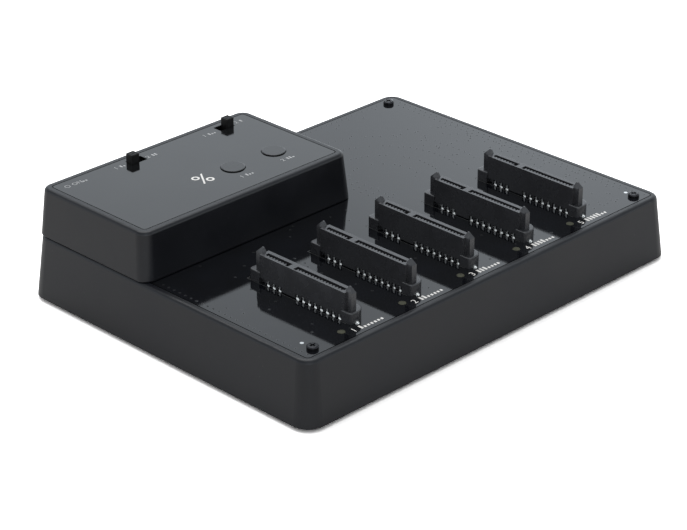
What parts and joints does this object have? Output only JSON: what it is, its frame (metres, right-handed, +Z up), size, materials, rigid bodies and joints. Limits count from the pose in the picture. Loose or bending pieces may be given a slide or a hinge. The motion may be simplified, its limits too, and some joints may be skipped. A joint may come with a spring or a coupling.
{
  "type": "drive duplicator",
  "caption": "Low desk unit that copies bare disk drives: a board-topped base with a row of upright drive connectors and a control box with push buttons and slide switches.",
  "frame": {"origin": "bottom centre of the base, on the surface that the rubber feet stand on", "axes": "+X to the right along the front edge, +Y to the back, +Z up"},
  "size_m": [0.166, 0.127, 0.0413],
  "materials": {
    "shell_plastic": "satin moulded",
    "plate_plastic": "satin moulded",
    "foot_rubber": "matte",
    "zinc_steel": "zinc plated",
    "black_steel": "black oxide",
    "board_mask": "glossy solder mask",
    "connector_plastic": "matte moulded",
    "contact_gold": "gold flashed",
    "tin": "bright tin",
    "lamp_lens": "diffusing",
    "panel_gloss": "gloss",
    "switch_plastic": "matte",
    "lever_plastic": "satin",
    "can_steel": "nickel plated",
    "display_plastic": "smoked",
    "lamp_body": "milky",
    "clear_plastic": "clear",
    "black_nylon": "matte",
    "pin_brass": "nickel flashed",
    "chip_resin": "matte",
    "ferrite": "matte",
    "capacitor_can": "sleeved"
  },
  "bodies": {
    "chassis": {"base_shell": "shell_plastic", "control_box_housing": "shell_plastic", "bottom_plate": "plate_plastic", "rubber_feet": "foot_rubber", "bottom_plate_screws": "zinc_steel", "control_box_screws": "zinc_steel", "control_board_screws": "zinc_steel", "board_screws": "black_steel", "main_board": "board_mask", "control_board": "board_mask", "drive_connector_1": "connector_plastic", "drive_connector_2": "connector_plastic", "drive_connector_3": "connector_plastic", "drive_connector_4": "connector_plastic", "drive_connector_5": "connector_plastic", "drive_contacts_1": "contact_gold", "drive_contacts_2": "contact_gold", "drive_contacts_3": "contact_gold", "drive_contacts_4": "contact_gold", "drive_contacts_5": "contact_gold", "connector_board_locks": "tin", "port_lamps": "lamp_lens", "control_panel": "panel_gloss", "copy_tact_switch": "switch_plastic", "mode_tact_switch": "switch_plastic", "left_switch_can": "can_steel", "right_switch_can": "can_steel", "usb_port_shell": "can_steel", "clock_crystal": "can_steel", "percent_display": "display_plastic", "power_lamp": "lamp_body", "power_light_pipe": "clear_plastic", "board_link_socket": "black_nylon", "board_link_plug": "black_nylon", "power_inlet": "black_nylon", "usb_port_tongue": "black_nylon", "power_inlet_pin": "pin_brass", "controller_chip": "chip_resin", "memory_chip": "chip_resin", "bridge_chips": "chip_resin", "power_inductors": "ferrite", "bulk_capacitors": "capacitor_can"},
    "copy_button": {"copy_button": "panel_gloss", "copy_tact_plunger": "switch_plastic"},
    "mode_button": {"mode_button": "panel_gloss", "mode_tact_plunger": "switch_plastic"},
    "left_lever": {"left_switch_lever": "lever_plastic"},
    "right_lever": {"right_switch_lever": "lever_plastic"}
  },
  "joints": [
    {"name": "copy_button_press", "type": "slide", "parent": "chassis", "child": "copy_button", "axis": [0, 0, -1], "range_m": [0, 0.0005], "stiffness_N_per_m": 1500},
    {"name": "mode_button_press", "type": "slide", "parent": "chassis", "child": "mode_button", "axis": [0, 0, -1], "range_m": [0, 0.0005], "stiffness_N_per_m": 1500},
    {"name": "left_switch_slide", "type": "slide", "parent": "chassis", "child": "left_lever", "axis": [1, 0, 0], "range_m": [0, 0.0029]},
    {"name": "right_switch_slide", "type": "slide", "parent": "chassis", "child": "right_lever", "axis": [-1, 0, 0], "range_m": [0, 0.0029]}
  ]
}
